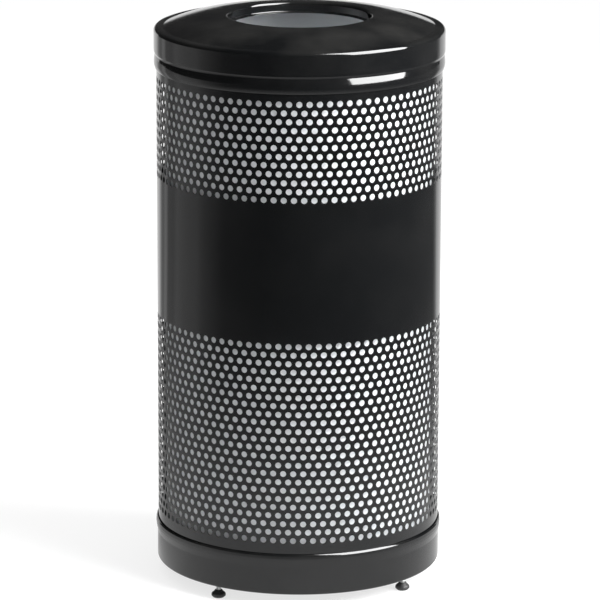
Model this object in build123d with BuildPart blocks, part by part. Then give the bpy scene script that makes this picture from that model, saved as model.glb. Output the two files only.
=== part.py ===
from build123d import *
import os
from math import atan, cos, floor, pi, radians, sin, sqrt, tan

os.makedirs("parts", exist_ok=True)

# An open-top litter receptacle in perforated steel: a lift-off spun lid, a rolled body, a spun
# base on levelling feet, and a rigid plastic liner. Millimetres, +Z up, front at -Y.
# The origin is on the floor, on the axis of the can.

# Overall sizes
total_height = 901.7      # floor to the crest of the rim round the deposit opening
body_radius = 224.5       # outside of the rolled sheet
lid_radius = 228.6        # outside of the lid's skirt

# Steel and fits
body_sheet = 1.0
lid_sheet = 1.0
base_sheet = 1.2
weld_fit = 0.15           # between pieces that are welded to each other
seat_gap = 0.3            # between a piece and the seat it is lifted off

# Lid
collar_radius = 112.0     # of the collar's face, which looks into the opening
collar_depth = 16.5
collar_lip = 4.2          # edge turned in at the collar's foot
rim_roll = 4.0            # from the dome over into the collar
dome_drop = 16.5          # rim's crest down to the corner of the shoulder
dome_crown = 2.1          # rise of the dome's arc above its chord
shoulder_roll = 4.0
skirt_drop = 56.0         # rim's crest down to the foot of the skirt
groove_depth = 1.9
groove_height = 3.4
lid_bead_height = 15.0    # groove down to the crest of the bead
lid_bead_relief = 0.3     # the crest stands this far inside the skirt
hem_height = 8.5          # crest of the bead down to the lower edge
hem_gap = 1.6             # body to the outside of the lower edge

# Base
ground_gap = 22.5         # floor to the underside of the base
base_wall_height = 44.0   # underside up to the start of the bead
base_bead_below = 14.5    # start of the bead up to its crest
base_bead_above = 8.0     # crest up to the bead's top edge
base_bead_stand = 2.3     # the crest stands this far out of the base's wall
base_corner = 3.0         # bevel at the foot of the wall
dish_radius = 168.0       # raised middle of the base's floor
dish_rise = 6.0
dish_slope_width = 12.0

# Perforation of the body: round holes in staggered rows
hole_diameter = 9.5
hole_pitch = 15.67        # between neighbours, in a row and from row to row
top_margin = 82.1         # first row's centres below the sheet's top edge
bottom_margin = 82.0      # last row's centres above its bottom edge, at the least
upper_rows = 12
plain_rows = 16           # rows left out between the two bands
lap_width = 14.0          # of the sheet's inner edge behind the welded seam, at the back

# Hoop inside the top edge
hoop_thickness = 3.0
hoop_height = 20.0

# Levelling feet
foot_count = 4
foot_circle = 207.5
first_foot_angle = -127.0  # from +X towards +Y, so the first foot is front left
stud_diameter = 7.94
stud_length = 42.0
thread_gap = 0.06         # stud to nut
stud_hole_gap = 0.5       # stud to the hole in the base
nut_flats = 14.0
nut_thickness = 6.8
pad_height = 12.5
pad_radius = 11.6
pad_tread = 7.5           # radius that stands on the floor
pad_waist = 4.5           # height of the widest place
pad_neck = 5.6            # radius at the top, round the stud
socket_depth = 9.0
socket_gap = 0.05

# Liner
liner_top_radius = 207.5
liner_foot_radius = 189.0
liner_wall = 3.0
liner_corner = 14.0
liner_rim_width = 6.0
liner_rim_drop = 11.0
liner_headroom = 17.0     # liner's rim below the corner of the lid's shoulder

# Heights and radii that follow from the sizes above
shoulder_top = total_height - dome_drop
skirt_foot = total_height - skirt_drop
groove_bottom = skirt_foot - groove_height
lid_crest = groove_bottom - lid_bead_height
lid_edge = lid_crest - hem_height
base_floor = ground_gap + base_sheet
base_bead_start = ground_gap + base_wall_height
base_crest = base_bead_start + base_bead_below
base_top = base_crest + base_bead_above
base_radius = body_radius + weld_fit + base_sheet
body_bottom = base_floor + base_corner
body_inside = body_radius - body_sheet
dish_top = base_floor + dish_rise
liner_bottom = dish_top + seat_gap
liner_rim = shoulder_top - liner_headroom

# The dome's arc runs from the shoulder's corner to the rim's corner. Its slope at each end sets
# the rim's corner, from which the roll comes down to the crest, and the seat under the dome.
dome_width = lid_radius - collar_radius
chord_angle = atan(dome_drop / dome_width)
half_turn = 2 * atan(2 * dome_crown / sqrt(dome_width**2 + dome_drop**2))
rim_slope = chord_angle - half_turn
edge_slope = chord_angle + half_turn
rim_corner = total_height + rim_roll * ((1 + sin(rim_slope)) / cos(rim_slope) - 1)
dome_underside = (
    shoulder_top
    + (lid_radius - body_radius) * tan(edge_slope)
    - lid_sheet / cos(edge_slope)
)
body_top = dome_underside - seat_gap

stud_radius = stud_diameter / 2
pad_socket_floor = pad_height - socket_depth


def round_corner(line, corner, radius):
    """Rounds the corner of a line that lies nearest to the point."""
    fillet(line.vertices().sort_by_distance(corner)[:1], radius=radius)


def foot_axis(number):
    """Gives the vertical axis of a levelling foot, from its place round the can."""
    angle = radians(first_foot_angle + number * 360 / foot_count)
    return Axis((foot_circle * cos(angle), foot_circle * sin(angle), 0), (0, 0, 1))


# Lid: one spun sheet, from its lower edge up over the bead, the skirt and the dome, and down
# the collar to the lip at its foot
with BuildPart() as lid:
    with BuildSketch(Plane.XZ):
        with BuildLine() as lid_line:
            bead_crest = (lid_radius - lid_bead_relief, lid_crest)
            groove = (lid_radius - groove_depth, groove_bottom)
            shoulder = (lid_radius, shoulder_top)
            rim = (collar_radius, rim_corner)
            collar_foot = (collar_radius, total_height - collar_depth)
            lip_edge = (collar_radius - collar_lip, total_height - collar_depth)
            TangentArc(bead_crest, (body_radius + hem_gap, lid_edge), tangent=(0, -1))
            TangentArc(bead_crest, groove, tangent=(0, 1))
            Polyline(groove, (lid_radius, skirt_foot), shoulder)
            SagittaArc(rim, shoulder, dome_crown)
            Polyline(rim, collar_foot, lip_edge)
            round_corner(lid_line, shoulder, shoulder_roll)
            round_corner(lid_line, rim, rim_roll)
            offset(amount=lid_sheet, side=Side.RIGHT)
        make_face()
    revolve(axis=Axis.Z)
lid.part.label = "lid"
export_step(lid.part, "parts/lid.step")

# Body: one sheet rolled round, with its inner edge lapped behind the seam at the back. The lap
# stops under the hoop.
with BuildPart() as body_shell:
    with BuildSketch(Plane.XY.offset(body_bottom)):
        Circle(body_radius)
        Circle(body_inside, mode=Mode.SUBTRACT)
    extrude(amount=body_top - body_bottom)
    with BuildSketch(Plane.XY.offset(body_bottom)):
        Circle(body_inside)
        Circle(body_inside - body_sheet, mode=Mode.SUBTRACT)
        with Locations((0, body_inside)):
            Rectangle(lap_width, lap_width, mode=Mode.INTERSECT)
    extrude(amount=body_top - hoop_height - seat_gap - body_bottom)
body_shell.part.label = "body_shell"
export_step(body_shell.part, "parts/body_shell.step")

# Hoop: flat bar rolled and welded inside the body's top edge
with BuildPart() as top_hoop:
    with BuildSketch(Plane.XY.offset(body_top - hoop_height)):
        Circle(body_inside - weld_fit)
        Circle(body_inside - weld_fit - hoop_thickness, mode=Mode.SUBTRACT)
    extrude(amount=hoop_height)
top_hoop.part.label = "top_hoop"
export_step(top_hoop.part, "parts/top_hoop.step")

# Base: one spun sheet round the foot of the body, with a bead at the top of its wall and a
# raised middle to its floor
with BuildPart() as base_pan:
    with BuildSketch(Plane.XZ):
        with BuildLine() as base_line:
            bead_crest = (base_radius + base_bead_stand, base_crest)
            bead_start = (base_radius, base_bead_start)
            floor_corner = (base_radius, ground_gap)
            TangentArc(bead_crest, (base_radius, base_top), tangent=(0, 1))
            TangentArc(bead_crest, bead_start, tangent=(0, -1))
            Polyline(
                bead_start,
                (base_radius, ground_gap + base_corner),
                (base_radius - base_corner, ground_gap),
                (dish_radius + dish_slope_width, ground_gap),
                (dish_radius, ground_gap + dish_rise),
                (0, ground_gap + dish_rise),
            )
            offset(amount=base_sheet, side=Side.LEFT)
        make_face()
    revolve(axis=Axis.Z)
    with PolarLocations(foot_circle, foot_count, start_angle=first_foot_angle):
        Hole(stud_radius + stud_hole_gap)
base_pan.part.label = "base_pan"
export_step(base_pan.part, "parts/base_pan.step")

# Liner: a tapered tub of rigid plastic. Its rim turns out, and then down as a lip.
with BuildPart() as liner:
    with BuildSketch(Plane.XZ):
        with BuildLine() as liner_line:
            foot_corner = (liner_foot_radius, liner_bottom)
            rim_middle = liner_rim - liner_wall / 2
            Polyline((0, liner_bottom), foot_corner, (liner_top_radius, rim_middle))
            chamfer(liner_line.vertices().sort_by_distance(foot_corner)[:1], length=liner_corner)
            offset(amount=liner_wall, side=Side.LEFT)
        make_face()
        with Locations((liner_top_radius + liner_rim_width, liner_rim)):
            Rectangle(liner_rim_width + liner_wall, liner_wall, align=(Align.MAX, Align.MAX))
            Rectangle(liner_wall, liner_rim_drop, align=(Align.MAX, Align.MAX))
    revolve(axis=Axis.Z)
liner.part.label = "liner"
export_step(liner.part, "parts/liner.step")

# Levelling feet: a nut welded to the base's floor, a threaded stud through it, and a glide
# pressed onto the stud's lower end
for number in range(foot_count):
    axis = foot_axis(number)
    side_plane = Plane(origin=axis.position, x_dir=(1, 0, 0), z_dir=(0, -1, 0))
    floor_plane = Plane(origin=axis.position).offset(base_floor)
    stud_plane = Plane(origin=axis.position).offset(pad_socket_floor)

    with BuildPart() as foot_nut:
        with BuildSketch(floor_plane):
            RegularPolygon(nut_flats / 2, 6, major_radius=False)
            Circle(stud_radius + thread_gap, mode=Mode.SUBTRACT)
        extrude(amount=nut_thickness)
    foot_nut.part.label = f"foot_nut_{number + 1}"
    export_step(foot_nut.part, f"parts/foot_nut_{number + 1}.step")

    with BuildPart() as foot_stud:
        with BuildSketch(stud_plane):
            Circle(stud_radius)
        extrude(amount=stud_length)
    foot_stud.part.label = f"foot_stud_{number + 1}"
    export_step(foot_stud.part, f"parts/foot_stud_{number + 1}.step")

    with BuildPart() as foot_pad:
        with BuildSketch(side_plane):
            with BuildLine():
                Polyline(
                    (0, 0),
                    (pad_tread, 0),
                    (pad_radius, pad_waist),
                    (pad_neck, pad_height),
                    (stud_radius + socket_gap, pad_height),
                    (stud_radius + socket_gap, pad_socket_floor),
                    (0, pad_socket_floor),
                    close=True,
                )
            make_face()
        revolve(axis=axis)
    foot_pad.part.label = f"foot_pad_{number + 1}"
    export_step(foot_pad.part, f"parts/foot_pad_{number + 1}.step")
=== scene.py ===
from math import cos, pi, radians, sin

import bpy
import numpy as np
from mathutils import Matrix, Vector


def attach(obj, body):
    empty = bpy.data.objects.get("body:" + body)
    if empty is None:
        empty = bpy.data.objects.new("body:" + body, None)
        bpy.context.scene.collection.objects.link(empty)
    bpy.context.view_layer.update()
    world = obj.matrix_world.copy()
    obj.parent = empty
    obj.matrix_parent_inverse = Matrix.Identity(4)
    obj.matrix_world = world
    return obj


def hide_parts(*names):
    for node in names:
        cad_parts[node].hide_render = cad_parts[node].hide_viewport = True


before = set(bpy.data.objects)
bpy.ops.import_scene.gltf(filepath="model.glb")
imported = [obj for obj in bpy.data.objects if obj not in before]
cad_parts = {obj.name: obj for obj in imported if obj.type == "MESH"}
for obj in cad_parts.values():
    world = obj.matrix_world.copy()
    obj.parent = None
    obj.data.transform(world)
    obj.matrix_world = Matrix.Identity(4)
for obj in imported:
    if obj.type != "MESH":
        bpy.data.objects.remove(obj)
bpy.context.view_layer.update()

# Sizes in millimetres. The front faces -Y and the floor is at height 0. They are the part's, except
# that the dome ends in a flat land, the body's top edge stays under it, and the liner is straight.
total_height = 901.7
body_radius = 224.5
body_sheet = 1.0
lid_radius = 228.6
lid_sheet = 1.0
base_sheet = 1.2
collar_radius = 112.0
collar_foot = 885.2
lip_radius = 107.8
land = 883.6
land_radius = 213.5
dome_start = 116.0    # the dome falls from this radius
dome_width = 97.5
dome_bend = 2.2       # power of the dome's fall
skirt_foot = 845.7
groove_radius = 226.7
groove_bottom = 842.3
lid_crest = 827.3
lid_crest_radius = 228.3
lid_edge = 818.8
lid_edge_radius = 226.1
base_radius = 225.85
ground_gap = 22.5
base_bead_start = 66.5
base_crest = 81.0
base_crest_stand = 2.3
base_top = 89.0
body_bottom = 26.7
body_top = 882.2
dish_rise = 6.0
dish_radius = 168.0
dish_foot_radius = 180.0

# Perforation of the body: every other row is moved along by half a pitch
holes_per_row = 90
hole_diameter = 9.5
row_pitch = 13.571
first_row = 802.6
upper_rows = (0, 12)
lower_rows = (28, 52)
split_height = 436.0

# Levelling feet
foot_circle = 207.5
foot_angles = [radians(-127 + 90 * number) for number in range(4)]
stud_radius = 3.97
stud_bottom = 3.5
stud_length = 42.0
thread_pitch = 1.411

# Liner and hoop
liner_radius = 210.5
liner_foot_radius = 197.5
liner_wall = 3.0
liner_bottom = 30.0
liner_rim = 868.2
liner_lip_foot = 857.4
hoop_inside, hoop_outside = 220.35, 223.35
hoop_height = 20


# Outlines are arrays of (radius, height) points with the outside on the right of the way they run


def rounded(corners):
    """A line through (radius, height, rounding) corners. Each rounding is an arc that leaves and
    meets the straight runs at a tangent: its radius arms swing evenly from the one to the other."""
    points = np.array([corner[:2] for corner in corners], float)
    runs = [points[:1]]
    for before, corner, after, size in zip(points, points[1:], points[2:], [c[2] for c in corners[1:]]):
        back = (before - corner) / np.linalg.norm(before - corner)
        on = (after - corner) / np.linalg.norm(after - corner)
        half = np.arccos(np.clip(back @ on, -1, 1)) / 2
        turn = pi - 2 * half
        centre = corner + (back + on) / np.linalg.norm(back + on) * size / sin(half)
        first = corner + back * size / np.tan(half) - centre
        last = corner + on * size / np.tan(half) - centre
        share = np.linspace(0, 1, max(3, int(turn / radians(9)) + 2))[:, None]
        runs.append(centre + (np.sin((1 - share) * turn) * first + np.sin(share * turn) * last) / sin(turn))
    return np.concatenate([*runs, points[-1:]])


def arc(start, end, rise, count=12):
    """Points of a flat arc from start to end whose middle stands out by the rise, on the right."""
    share = np.linspace(0, 1, count)[:, None]
    start, end = np.array(start, float), np.array(end, float)
    along = end - start
    side = np.array([along[1], -along[0]]) / np.linalg.norm(along)
    return start + share * along + 4 * rise * share * (1 - share) * side


def sheet(line, thickness):
    """Closed outline of a sheet from the line of its outer face: the inner face is the line moved
    in by the thickness, square to it, and half rounds close the two edges."""
    along = np.gradient(line, axis=0)
    along /= np.linalg.norm(along, axis=1, keepdims=True)
    out = np.stack([along[:, 1], -along[:, 0]], 1)
    turn = np.linspace(0, pi, 7)[1:-1, None]
    middle = line - out * thickness / 2
    half = thickness / 2
    end = middle[-1] + half * (np.cos(turn) * out[-1] + np.sin(turn) * along[-1])
    start = middle[0] - half * (np.cos(turn) * out[0] + np.sin(turn) * along[0])
    return np.concatenate([line, end, (line - out * thickness)[::-1], start])


def weave(grid):
    """Four-cornered faces between the neighbouring rows of a grid of vertex numbers, round each
    row and back to its start."""
    onward = np.roll(grid, -1, 1)
    return np.stack([grid[:-1], onward[:-1], onward[1:], grid[1:]], 2).reshape(-1, 4)


def spun(outline, segments=256, centre=(0, 0)):
    """An outline turned about an upright axis: at angle t a point stands at (r sin t, -r cos t, z).
    The normals are square to the chord between an outline point's two neighbours. An outline that
    starts and ends on the axis has one vertex at each pole, and any other one closes on itself."""
    poled = outline[0, 0] == 0
    chord = np.gradient(outline, axis=0) if poled else np.roll(outline, -1, 0) - np.roll(outline, 1, 0)
    out = np.stack([chord[:, 1], -chord[:, 0]], 1) / np.linalg.norm(chord, axis=1, keepdims=True)
    rings = slice(1, -1) if poled else slice(None)
    turn = np.arange(segments) * 2 * pi / segments
    swing = np.stack([np.sin(turn), -np.cos(turn), np.ones(segments)], 1)
    points = (outline[rings, None][:, :, [0, 0, 1]] * swing).reshape(-1, 3)
    normals = (out[rings, None][:, :, [0, 0, 1]] * swing).reshape(-1, 3)
    grid = np.arange(len(points)).reshape(-1, segments)
    if poled:
        low, high = len(points), len(points) + 1
        points = np.concatenate([points, [(0, 0, outline[0, 1]), (0, 0, outline[-1, 1])]])
        normals = np.concatenate([normals, [(0, 0, -1), (0, 0, 1)]])
        first, last = grid[0], grid[-1]
        under = np.stack([np.full(segments, low), np.roll(first, -1), first], 1)
        over = np.stack([last, np.roll(last, -1), np.full(segments, high)], 1)
        faces = [weave(grid), under, over]
    else:
        faces = [weave(np.concatenate([grid, grid[:1]]))]
    return points + (*centre, 0), faces, normals


def perforated(rows, top, bottom):
    """A band of the rolled sheet. The lattice of holes is cut into six-sided cells that share their
    corners, on columns of half a pitch and levels of a third of a row. In each cell a ring of twelve
    points stands round the hole, then its worn-in edge, the wall through the sheet and the inner
    face. Straight rings close the band at its top and bottom. Cells at the seam have no hole."""
    columns = 2 * holes_per_row
    row, place = (a.ravel() for a in np.meshgrid(np.arange(*rows), np.arange(holes_per_row), indexing="ij"))
    column = 2 * place + row % 2
    whole = np.abs(column - columns // 2) < 2
    corner_columns = (column[:, None] + (1, 0, -1, -1, 0, 1)) % columns
    corner_levels = -3 * row[:, None] + (1, 2, 1, -1, -2, -1)
    keys, cells = np.unique(corner_levels * columns + corner_columns, return_inverse=True)
    cells = cells.reshape(-1, 6)

    def stand(angle, height, radius):
        return np.stack(np.broadcast_arrays(radius * np.sin(angle), -radius * np.cos(angle), height), -1)

    def lie(angle):
        return stand(angle, 0, 1)

    outside, inside = body_radius, body_radius - body_sheet
    step = 2 * pi / columns
    key_angle, key_height = keys % columns * step, first_row + keys // columns * row_pitch / 3
    compass = np.arange(12) * pi / 6
    hole = hole_diameter / 2 * 1.0233
    angle, height = column[~whole, None] * step, first_row - row[~whole, None] * row_pitch
    across = np.stack([np.cos(angle) + 0 * compass, np.sin(angle) + 0 * compass, 0 * angle + 0 * compass], -1)
    inward = -np.cos(compass)[None, :, None] * across
    inward[..., 2] -= np.sin(compass)
    points, normals = [], []
    for radius, reach, tilt in ((outside, hole + 0.6, 0), (outside - 0.12, hole, 1), (inside, hole, -1)):
        spot = angle + reach * np.cos(compass) / body_radius
        points.append(stand(spot, height + reach * np.sin(compass), radius).reshape(-1, 3))
        lean = lie(spot) if tilt == 0 else tilt * lie(spot) + inward
        normals.append((lean / np.linalg.norm(lean, axis=-1, keepdims=True)).reshape(-1, 3))
    ring_angle = np.arange(columns) * step
    for radius in (outside, inside):
        side = 1 if radius == outside else -1
        points += [stand(key_angle, key_height, radius)]
        points += [stand(ring_angle, level, radius) for level in (top, bottom)]
        normals += [side * lie(key_angle), side * lie(ring_angle), side * lie(ring_angle)]
    starts = np.cumsum([0] + [len(p) for p in points])

    holes = np.arange(12 * (~whole).sum()).reshape(-1, 12)
    ring, edge, back_edge = (holes + start for start in starts[:3])
    faces = []
    for near, far in ((ring, edge), (edge, back_edge)):
        faces.append(np.stack([near, np.roll(near, -1, 1), np.roll(far, -1, 1), far], 2).reshape(-1, 4))
    sector = np.arange(6)
    spokes = np.stack([(2 * sector + 3) % 12, 2 * sector + 2, 2 * sector + 1], 1) % 12
    lines = []
    for number, inner_ring, way in ((3, ring, 1), (6, back_edge, -1)):
        corners = cells + starts[number]
        open_cells = corners[~whole]
        pair = np.stack([open_cells, np.roll(open_cells, -1, 1)], 2)
        petal = np.concatenate([pair, inner_ring[:, spokes]], 2).reshape(-1, 5)
        faces += [petal[:, ::way], corners[whole][:, ::way]]
        for level, ends in ((3 * -rows[0], 1), (3 * -(rows[1] - 1), -1)):
            index = np.arange(columns)
            odd = (index - level) % 2
            zigzag = np.searchsorted(keys, (level + ends * (2 - odd)) * columns + index) + starts[number]
            straight = index + starts[number + (1 if ends == 1 else 2)]
            low, high = (zigzag, straight) if ends == 1 else (straight, zigzag)
            faces.append(weave(np.stack([low, high]))[:, ::way])
            lines.append(straight)
    faces += [weave(np.stack([lines[0], lines[2]])), weave(np.stack([lines[3], lines[1]]))]
    return np.concatenate(points), faces, np.concatenate(normals)


def place_piece(name, shape, material, body, slot, *nodes):
    """Makes an object of a shape's points, faces and normals, which rides a body of the frame."""
    points, faces, normals = shape
    mesh = bpy.data.meshes.new(name)
    sizes = np.concatenate([np.full(len(group), group.shape[1]) for group in faces])
    corners = np.concatenate([group.ravel() for group in faces])
    mesh.vertices.add(len(points))
    mesh.vertices.foreach_set("co", (points / 1000).ravel())
    mesh.loops.add(len(corners))
    mesh.loops.foreach_set("vertex_index", corners)
    mesh.polygons.add(len(sizes))
    mesh.polygons.foreach_set("loop_start", np.cumsum(sizes) - sizes)
    mesh.polygons.foreach_set("use_smooth", np.ones(len(sizes), bool))
    mesh.update(calc_edges=True)
    mesh.normals_split_custom_set_from_vertices(normals)
    mesh.materials.append(material)
    piece = bpy.data.objects.new(name, mesh)
    bpy.context.scene.collection.objects.link(piece)
    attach(piece, body)
    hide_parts(*nodes)
    return piece


def dome_height(radius):
    """Height of the lid's dome at a radius: level at the rim, and steeper towards the land."""
    return total_height - (total_height - land) * ((radius - dome_start) / dome_width) ** dome_bend


def lid_outline():
    """The spun lid, from its lower edge over the bead, skirt, shoulder and dome to the collar."""
    edge = arc((lid_edge_radius, lid_edge), (lid_crest_radius, lid_crest), 0.35)
    bead = arc((lid_crest_radius, lid_crest), (groove_radius, groove_bottom), 0.45)
    top = rounded([
        (groove_radius, groove_bottom, 0),
        (lid_radius - 0.3, skirt_foot, 1.5),
        (lid_radius, skirt_foot + 4, 8),
        (lid_radius, land - 1.1, 5.5),
        (221, land - 0.1, 6),
        (land_radius, land, 3),
        *[(radius, dome_height(radius), 150)
          for radius in range(205, 120, -10)],
        (collar_radius, 901.85, 4.5),
        (collar_radius, collar_foot + 0.3, 2.2),
        (lip_radius, collar_foot, 0),
    ])
    return sheet(np.concatenate([edge, bead[1:], top[2:]]), lid_sheet)


def base_outline():
    """The spun base, from the middle of its underside out over the bead and back inside."""
    stand = base_radius + base_crest_stand
    wall = rounded([
        (0, ground_gap + dish_rise, 0),
        (dish_radius, ground_gap + dish_rise, 6),
        (dish_foot_radius, ground_gap, 6),
        (base_radius, ground_gap, 3.5),
        (base_radius, base_bead_start, 12),
        (stand - 0.4, base_crest - 5, 8),
        (stand, base_crest, 6),
        (stand - 0.5, base_top - 3.2, 0.9),
        (base_radius + 0.3, base_top - 0.2, 0),
    ])
    along = np.gradient(wall, axis=0)
    along /= np.linalg.norm(along, axis=1, keepdims=True)
    out = np.stack([along[:, 1], -along[:, 0]], 1)
    inner = np.maximum(wall - out * base_sheet, 0)[::-1]
    return np.concatenate([wall, inner])


def liner_outline():
    """The plastic liner, from the middle of its underside round its drawn-in foot, up and over
    its rim."""
    lip = liner_radius + liner_wall
    inside, foot_inside = liner_radius - liner_wall, liner_foot_radius - liner_wall
    return rounded([
        (0, liner_bottom, 0),
        (liner_foot_radius, liner_bottom, 4),
        (liner_foot_radius, 58, 6),
        (liner_radius, 70, 8),
        (liner_radius, liner_lip_foot, 0.4),
        (lip, liner_lip_foot, 0.5),
        (lip, liner_rim, 2.2),
        (inside, liner_rim, 2.2),
        (inside, 71, 6),
        (foot_inside, 59, 6),
        (foot_inside, liner_bottom + liner_wall, 4),
        (0, liner_bottom + liner_wall, 0),
    ])


def ring_outline(inner, outer, low, high, rounding):
    """A flat bar bent round, with its edges eased."""
    return rounded([
        ((inner + outer) / 2, low, 0),
        (outer, low, rounding),
        (outer, high, rounding),
        (inner, high, rounding),
        (inner, low, rounding),
        ((inner + outer) / 2, low, 0),
    ])[:-1]


def pad_outline():
    """The glide under a foot: a flat tread, a full round waist and a neck round the stud."""
    return rounded([
        (0, 0, 0),
        (8.2, 0, 1.6),
        (11.6, 3.2, 2.2),
        (11.0, 7.0, 3.0),
        (7.2, 10.2, 3.0),
        (5.6, 12.5, 0.8),
        (4.1, 12.5, 0.3),
        (4.05, 11.5, 0.2),
        (0, 11.5, 0),
    ])


def threaded(radius, low, length, centre):
    """A rod whose radius swings between crest and root with height less the turn round the axis,
    so that the thread climbs by one pitch a turn. It narrows to a bevel at each end."""
    segments, per_turn = 28, 7
    heights = np.linspace(0, length, int(length / thread_pitch * per_turn))[:, None]
    turn = np.arange(segments)[None] * 2 * pi / segments
    phase = (heights / thread_pitch + turn / (2 * pi)) % 1
    depth = 0.55 * np.clip(1.25 - 2.5 * np.abs(phase - 0.5), 0, 1)
    ends = np.minimum(heights, length - heights)
    size = np.minimum(radius - 0.55 + depth, radius - 0.9 + ends)
    points = np.stack([size * np.sin(turn), -size * np.cos(turn), low + heights + 0 * turn], 2)
    grid = np.arange(points.shape[0] * segments).reshape(-1, segments)
    slope = np.gradient(size, heights[1, 0], axis=0)
    normals = np.stack([np.sin(turn) + 0 * size, -np.cos(turn) + 0 * size, -slope], 2)
    normals /= np.linalg.norm(normals, axis=2, keepdims=True)
    points, normals = points.reshape(-1, 3), normals.reshape(-1, 3)
    caps = [(0, 0, low), (0, 0, low + length)]
    first, last, end = grid[0], grid[-1], len(points)
    under = np.stack([np.full(segments, end), np.roll(first, -1), first], 1)
    over = np.stack([last, np.roll(last, -1), np.full(segments, end + 1)], 1)
    points = np.concatenate([points, caps]) + (*centre, 0)
    normals = np.concatenate([normals, [(0, 0, -1), (0, 0, 1)]])
    return points, [weave(grid), under, over], normals


# Materials


def new_group(name, inputs, outputs):
    """An empty node group with float inputs and the named outputs."""
    group = bpy.data.node_groups.new(name, "ShaderNodeTree")
    for socket, value in inputs.items():
        made = group.interface.new_socket(socket, in_out="INPUT", socket_type="NodeSocketFloat")
        made.default_value = value
    for socket, kind in outputs.items():
        group.interface.new_socket(socket, in_out="OUTPUT", socket_type=kind)
    return group, group.nodes.new("NodeGroupInput"), group.nodes.new("NodeGroupOutput")


def add_node(tree, kind, links=None, **settings):
    """A node with its settings and socket values. A link is a value, or another node's output."""
    node = tree.nodes.new(kind)
    for name, value in settings.items():
        setattr(node, name, value)
    for socket, value in (links or {}).items():
        if isinstance(value, bpy.types.NodeSocket):
            tree.links.new(value, node.inputs[socket])
        else:
            node.inputs[socket].default_value = value
    return node


def sprayed_surface():
    """Group: the skin of sprayed paint. Fine dimples and long waves of the sheet make its normal,
    and a mask picks out dust, more of it on faces that look up."""
    group, entry, leave = new_group(
        "sprayed_surface",
        {"Dimple Depth": 0.00002, "Wave Depth": 0.0003, "Dust Share": 0.3},
        {"Normal": "NodeSocketVector", "Dust": "NodeSocketFloat"},
    )
    place = add_node(group, "ShaderNodeTexCoord").outputs["Object"]
    dimples = add_node(group, "ShaderNodeTexNoise", {"Vector": place, "Scale": 420.0, "Detail": 2.0})
    waves = add_node(group, "ShaderNodeTexNoise", {"Vector": place, "Scale": 7.0, "Detail": 1.0})
    slow = add_node(group, "ShaderNodeBump", {
        "Strength": 1.0, "Distance": entry.outputs["Wave Depth"], "Height": waves.outputs["Fac"]})
    fine = add_node(group, "ShaderNodeBump", {
        "Strength": 1.0, "Distance": entry.outputs["Dimple Depth"], "Height": dimples.outputs["Fac"],
        "Normal": slow.outputs["Normal"]})
    group.links.new(fine.outputs["Normal"], leave.inputs["Normal"])
    specks = add_node(group, "ShaderNodeTexNoise", {"Vector": place, "Scale": 900.0, "Detail": 4.0})
    drift = add_node(group, "ShaderNodeTexNoise", {"Vector": place, "Scale": 11.0, "Detail": 3.0})
    shape = add_node(group, "ShaderNodeNewGeometry")
    upward = add_node(group, "ShaderNodeSeparateXYZ", {"Vector": shape.outputs["Normal"]})
    lying = add_node(group, "ShaderNodeMapRange", {
        "Value": upward.outputs["Z"], "From Min": -0.2, "From Max": 1.0, "To Min": 0.15, "To Max": 1.0})
    sharp = add_node(group, "ShaderNodeMapRange", {
        "Value": specks.outputs["Fac"], "From Min": 0.62, "From Max": 0.8})
    soft = add_node(group, "ShaderNodeMapRange", {
        "Value": drift.outputs["Fac"], "From Min": 0.4, "From Max": 0.75})
    both = add_node(group, "ShaderNodeMath", {0: sharp.outputs[0], 1: soft.outputs[0]}, operation="ADD")
    some = add_node(group, "ShaderNodeMath", {0: both.outputs[0], 1: lying.outputs[0]}, operation="MULTIPLY")
    share = add_node(group, "ShaderNodeMath", {0: some.outputs[0], 1: entry.outputs["Dust Share"]},
                     operation="MULTIPLY", use_clamp=True)
    group.links.new(share.outputs[0], leave.inputs["Dust"])
    return group


def new_material(name):
    """An empty material, its node tree and its output node."""
    material = bpy.data.materials.new(name)
    material.use_nodes = True
    material.node_tree.nodes.clear()
    return material, material.node_tree, add_node(material.node_tree, "ShaderNodeOutputMaterial")


def enamel(name, group, dimples, waves, dust):
    """Black gloss enamel, baked hard: a dark body under a clear skin, with a trace of dust."""
    material, tree, output = new_material(name)
    skin = add_node(tree, "ShaderNodeGroup", node_tree=group)
    skin.inputs["Dimple Depth"].default_value = dimples
    skin.inputs["Wave Depth"].default_value = waves
    skin.inputs["Dust Share"].default_value = dust
    colour = add_node(tree, "ShaderNodeMix", data_type="RGBA")
    link_mix(tree, colour, skin.outputs["Dust"], (0.0022, 0.0024, 0.0026, 1), (0.035, 0.034, 0.032, 1))
    rough = add_node(tree, "ShaderNodeMapRange", {
        "Value": skin.outputs["Dust"], "To Min": 0.07, "To Max": 0.28})
    shader = add_node(tree, "ShaderNodeBsdfPrincipled", {
        "Base Color": colour.outputs[2], "Roughness": rough.outputs[0], "IOR": 1.52,
        "Normal": skin.outputs["Normal"]})
    tree.links.new(shader.outputs[0], output.inputs["Surface"])
    return material


def link_mix(tree, node, factor, first, second):
    """Sets the three colour sockets of a Mix node, whose names its other kinds share."""
    tree.links.new(factor, node.inputs[0])
    node.inputs[6].default_value = first
    node.inputs[7].default_value = second


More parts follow.
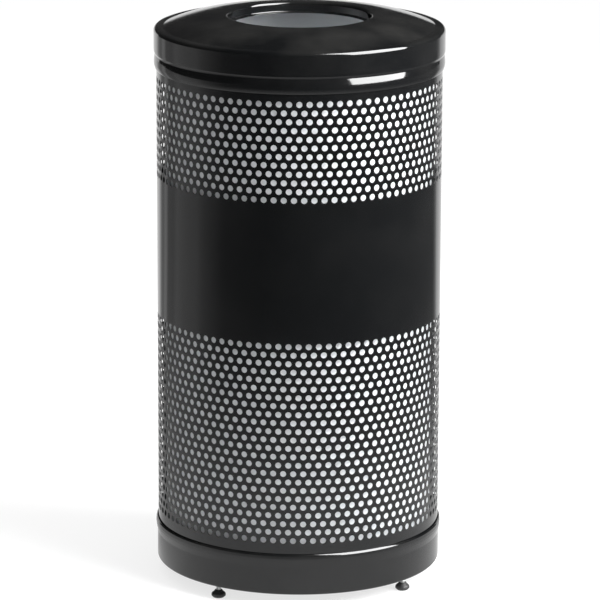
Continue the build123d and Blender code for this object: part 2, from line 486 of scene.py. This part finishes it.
def plastic(name, colour, stain, roughness, grain):
    """Moulded plastic: faint cloudy shade, a fine grain and rubbed patches."""
    material, tree, output = new_material(name)
    place = add_node(tree, "ShaderNodeTexCoord").outputs["Object"]
    clouds = add_node(tree, "ShaderNodeTexNoise", {"Vector": place, "Scale": 14.0, "Detail": 3.0})
    grains = add_node(tree, "ShaderNodeTexNoise", {"Vector": place, "Scale": 700.0, "Detail": 2.0})
    shade = add_node(tree, "ShaderNodeMix", data_type="RGBA")
    link_mix(tree, shade, clouds.outputs["Fac"], (*colour, 1), (*stain, 1))
    rough = add_node(tree, "ShaderNodeMapRange", {
        "Value": clouds.outputs["Fac"], "To Min": roughness - 0.08, "To Max": roughness + 0.12})
    bump = add_node(tree, "ShaderNodeBump", {
        "Strength": 1.0, "Distance": grain, "Height": grains.outputs["Fac"]})
    shader = add_node(tree, "ShaderNodeBsdfPrincipled", {
        "Base Color": shade.outputs[2], "Roughness": rough.outputs[0], "Normal": bump.outputs["Normal"]})
    tree.links.new(shader.outputs[0], output.inputs["Surface"])
    return material


def zinc(name):
    """Bright zinc plate: a cool metal, clouded where it was handled."""
    material, tree, output = new_material(name)
    place = add_node(tree, "ShaderNodeTexCoord").outputs["Object"]
    clouds = add_node(tree, "ShaderNodeTexNoise", {"Vector": place, "Scale": 160.0, "Detail": 4.0})
    shade = add_node(tree, "ShaderNodeMix", data_type="RGBA")
    link_mix(tree, shade, clouds.outputs["Fac"], (0.86, 0.87, 0.87, 1), (0.66, 0.67, 0.66, 1))
    rough = add_node(tree, "ShaderNodeMapRange", {
        "Value": clouds.outputs["Fac"], "To Min": 0.22, "To Max": 0.5})
    shader = add_node(tree, "ShaderNodeBsdfPrincipled", {
        "Base Color": shade.outputs[2], "Metallic": 0.8, "Roughness": rough.outputs[0]})
    tree.links.new(shader.outputs[0], output.inputs["Surface"])
    return material


paint_skin = sprayed_surface()
lid_enamel = enamel("lid_enamel", paint_skin, 0.000012, 0.00025, 0.25)
body_enamel = enamel("body_enamel", paint_skin, 0.000016, 0.0004, 0.15)
base_enamel = enamel("base_enamel", paint_skin, 0.000016, 0.0003, 0.3)
liner_plastic = plastic("liner_plastic", (0.80, 0.82, 0.84), (0.73, 0.75, 0.77), 0.3, 0.00001)
glide_nylon = plastic("glide_nylon", (0.012, 0.012, 0.013), (0.022, 0.022, 0.022), 0.5, 0.00003)
zinc_plate = zinc("zinc_plate")

# Pieces
place_piece("lid_spun", spun(lid_outline()), lid_enamel, "lid", "lid_enamel", "lid")
place_piece("body_sheet_upper", perforated(upper_rows, body_top, split_height),
            body_enamel, "can", "body_enamel", "body_shell")
place_piece("body_sheet_lower", perforated(lower_rows, split_height, body_bottom),
            body_enamel, "can", "body_enamel", "body_shell")
place_piece("hoop_bar", spun(ring_outline(hoop_inside, hoop_outside, body_top - hoop_height, body_top, 0.6)),
            body_enamel, "can", "body_enamel", "top_hoop")
place_piece("base_spun", spun(base_outline()), base_enamel, "can", "base_enamel", "base_pan")
place_piece("liner_tub", spun(liner_outline()), liner_plastic, "liner", "liner_plastic", "liner")
for number, angle in enumerate(foot_angles, 1):
    spot = (foot_circle * cos(angle), foot_circle * sin(angle))
    place_piece(f"glide_{number}", spun(pad_outline(), 48, spot), glide_nylon,
                f"foot_{number}", "glide_nylon", f"foot_pad_{number}")
    place_piece(f"stud_{number}", threaded(stud_radius, stud_bottom, stud_length, spot), zinc_plate,
                f"foot_{number}", "zinc_plate", f"foot_stud_{number}")
for number in range(1, 5):
    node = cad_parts[f"foot_nut_{number}"]
    node.data.materials.clear()
    node.data.materials.append(zinc_plate)

# Studio


def ramp(tree, factor, stops):
    """A colour ramp of grey levels at the given places."""
    node = add_node(tree, "ShaderNodeValToRGB")
    tree.links.new(factor, node.inputs[0])
    elements = node.color_ramp.elements
    while len(elements) < len(stops):
        elements.new(0.5)
    for element, (spot, level) in zip(elements, stops):
        element.position = spot
        element.color = (level, level, level, 1)
    return node.outputs["Color"]


def floor_material():
    """Pale floor. The camera sees it near white with the object's shadow. In gloss it glows: a painted pool
    of light close to the object with a painted shadow of the object at its back left, and further out bright
    behind it and falling off towards the dark front of the studio."""
    material, tree, output = new_material("studio_floor")
    place = add_node(tree, "ShaderNodeTexCoord").outputs["Object"]
    parts = add_node(tree, "ShaderNodeSeparateXYZ", {"Vector": place})
    flat = add_node(tree, "ShaderNodeVectorMath", {0: place}, operation="LENGTH")
    # Painted pool of light on the floor: a glow that falls off with distance from the object
    away = add_node(tree, "ShaderNodeMath", {0: flat.outputs["Value"], 1: 0.23}, operation="SUBTRACT")
    scaled = add_node(tree, "ShaderNodeMath", {0: away.outputs[0], 1: 0.9}, operation="DIVIDE")
    squared = add_node(tree, "ShaderNodeMath", {0: scaled.outputs[0], 1: 2.0}, operation="POWER")
    minus = add_node(tree, "ShaderNodeMath", {0: squared.outputs[0], 1: -1.0}, operation="MULTIPLY")
    near = add_node(tree, "ShaderNodeMath", {0: minus.outputs[0]}, operation="EXPONENT")
    front = add_node(tree, "ShaderNodeMath", {0: parts.outputs["Y"], 1: -1.0}, operation="MULTIPLY")
    bearing = add_node(tree, "ShaderNodeMath", {0: parts.outputs["X"], 1: front.outputs[0]},
                       operation="ARCTAN2")
    round_share = add_node(tree, "ShaderNodeMapRange", {
        "Value": bearing.outputs[0], "From Min": -pi, "From Max": pi}).outputs[0]

    def at(degrees):
        return 0.5 + degrees / 360

    far_level = ramp(tree, round_share, [
        (0.0, 1.0), (at(-151), 0.95), (at(-143), 0.35), (at(-137), 0.35), (at(-135.5), 0.58),
        (at(-130), 0.58), (at(-128.5), 0.30), (at(-118), 0.36), (at(-112), 0.55), (at(-87), 0.55),
        (at(-80), 0.38), (at(-60), 0.12), (at(-30), 0.045), (at(40), 0.05), (at(80), 0.10),
        (at(135), 0.13), (at(142), 0.5), (at(144), 0.95), (1.0, 1.0)])
    # Level of the painted pool of light round the compass, with a painted shadow of the object at bearing
    # -112, away from the softbox
    painted_pool_and_shadow_level = ramp(tree, round_share, [
        (0.0, 1.0), (at(-112), 0.6), (at(-80), 1.0), (at(0), 1.0), (at(60), 1.0), (1.0, 1.0)])
    level = add_node(tree, "ShaderNodeMix", data_type="RGBA")
    tree.links.new(near.outputs[0], level.inputs[0])
    tree.links.new(far_level, level.inputs[6])
    tree.links.new(painted_pool_and_shadow_level, level.inputs[7])
    paths = add_node(tree, "ShaderNodeLightPath")
    # The floor's glow seen in gloss, holding the painted pool of light and the painted shadow
    gloss = add_node(tree, "ShaderNodeEmission", {"Color": level.outputs[2], "Strength": 1.0})
    white = add_node(tree, "ShaderNodeEmission", {"Color": (1, 1, 1, 1), "Strength": 0.72})
    matt = add_node(tree, "ShaderNodeBsdfDiffuse", {"Color": (0.32, 0.32, 0.32, 1)})
    shown = add_node(tree, "ShaderNodeAddShader", {0: white.outputs[0], 1: matt.outputs[0]})
    plain = add_node(tree, "ShaderNodeBsdfDiffuse", {"Color": (0.78, 0.78, 0.78, 1)})
    in_gloss = add_node(tree, "ShaderNodeMixShader", {
        0: paths.outputs["Is Glossy Ray"], 1: plain.outputs[0], 2: gloss.outputs[0]})
    seen = add_node(tree, "ShaderNodeMixShader", {
        0: paths.outputs["Is Camera Ray"], 1: in_gloss.outputs[0], 2: shown.outputs[0]})
    tree.links.new(seen.outputs[0], output.inputs["Surface"])
    return material


def flat_piece(name, corners, material):
    """A four-sided card with the given corners in metres."""
    mesh = bpy.data.meshes.new(name)
    mesh.from_pydata([tuple(corner) for corner in corners], [], [(0, 1, 2, 3)])
    mesh.materials.append(material)
    card = bpy.data.objects.new(name, mesh)
    bpy.context.scene.collection.objects.link(card)
    return card


def bearing_point(degrees, distance, height):
    """A point on the floor's compass, where 0 is the front and 90 the right."""
    return Vector((distance * sin(radians(degrees)), -distance * cos(radians(degrees)), height))


def glowing(name, strength):
    """A plain glowing face."""
    material, tree, output = new_material(name)
    light = add_node(tree, "ShaderNodeEmission", {"Color": (1, 1, 1, 1), "Strength": strength})
    tree.links.new(light.outputs[0], output.inputs["Surface"])
    return material


flat_piece("studio_floor", [(-6, -6, 0), (6, -6, 0), (6, 6, 0), (-6, 6, 0)], floor_material())

# A white wall far behind shows in the enamel at a low angle
wall = flat_piece(
    "far_wall", [(-4.4, 6, 0), (4.4, 6, 0), (4.4, 6, 1.3), (-4.4, 6, 1.3)], glowing("far_wall", 1.0))
wall.visible_camera = False
wall.visible_diffuse = False
wall.visible_shadow = False

# The big softbox at the right leans in over the object. Its face shows in the enamel, and a lamp in
# the same place lights the pale pieces.
box_bearing, box_width, box_height = 61.8, 1.52, 2.1
box_foot = bearing_point(box_bearing, 1.82, 0.685)
box_up = (bearing_point(box_bearing, -0.435, 0.9)).normalized()
box_side = bearing_point(box_bearing + 90, 1, 0)
box_middle = box_foot + box_up * box_height / 2
corners = [box_foot - box_side * box_width / 2, box_foot + box_side * box_width / 2]
corners += [corners[1] + box_up * box_height, corners[0] + box_up * box_height]
face = flat_piece("softbox_face", corners, glowing("softbox_face", 20.0))
face.visible_camera = False
face.visible_diffuse = False
face.visible_shadow = False

lamp = bpy.data.lights.new("softbox_lamp", "AREA")
lamp.shape = "RECTANGLE"
lamp.size, lamp.size_y = box_width, box_height
lamp.energy = 190
lamp_object = bpy.data.objects.new("softbox_lamp", lamp)
bpy.context.scene.collection.objects.link(lamp_object)
facing = box_side.cross(box_up)
lamp_turn = Matrix((box_side, box_up, facing)).transposed().to_4x4()
lamp_object.matrix_world = Matrix.Translation(box_middle) @ lamp_turn
lamp_object.visible_glossy = False
lamp_object.visible_camera = False

world = bpy.data.worlds.new("studio")
bpy.context.scene.world = world
world.use_nodes = True
world.node_tree.nodes.clear()
paths = add_node(world.node_tree, "ShaderNodeLightPath")
around = add_node(world.node_tree, "ShaderNodeBackground", {"Color": (1, 1, 1, 1), "Strength": 0.8})
dark = add_node(world.node_tree, "ShaderNodeBackground", {"Color": (1, 1, 1, 1), "Strength": 0.035})
white = add_node(world.node_tree, "ShaderNodeBackground", {"Color": (1, 1, 1, 1), "Strength": 1.0})
in_gloss = add_node(world.node_tree, "ShaderNodeMixShader", {
    0: paths.outputs["Is Glossy Ray"], 1: around.outputs[0], 2: dark.outputs[0]})
seen = add_node(world.node_tree, "ShaderNodeMixShader", {
    0: paths.outputs["Is Camera Ray"], 1: in_gloss.outputs[0], 2: white.outputs[0]})
add_node(world.node_tree, "ShaderNodeOutputWorld", {"Surface": seen.outputs[0]})

# Camera at the photograph's height and angle
camera_data = bpy.data.cameras.new("camera")
camera_data.lens = 249.2
camera_data.sensor_width = 36
camera_data.shift_x = 0.00203
camera_data.clip_end = 100
camera = bpy.data.objects.new("camera", camera_data)
camera.matrix_world = (
    Matrix.Translation((0, -6.401, 2.0555))
    @ Matrix.Rotation(radians(90 - 14.155), 4, "X")
    @ Matrix.Rotation(radians(0.18), 4, "Z")
)
bpy.context.scene.collection.objects.link(camera)
bpy.context.scene.camera = camera
bpy.context.scene.view_settings.view_transform = "Standard"
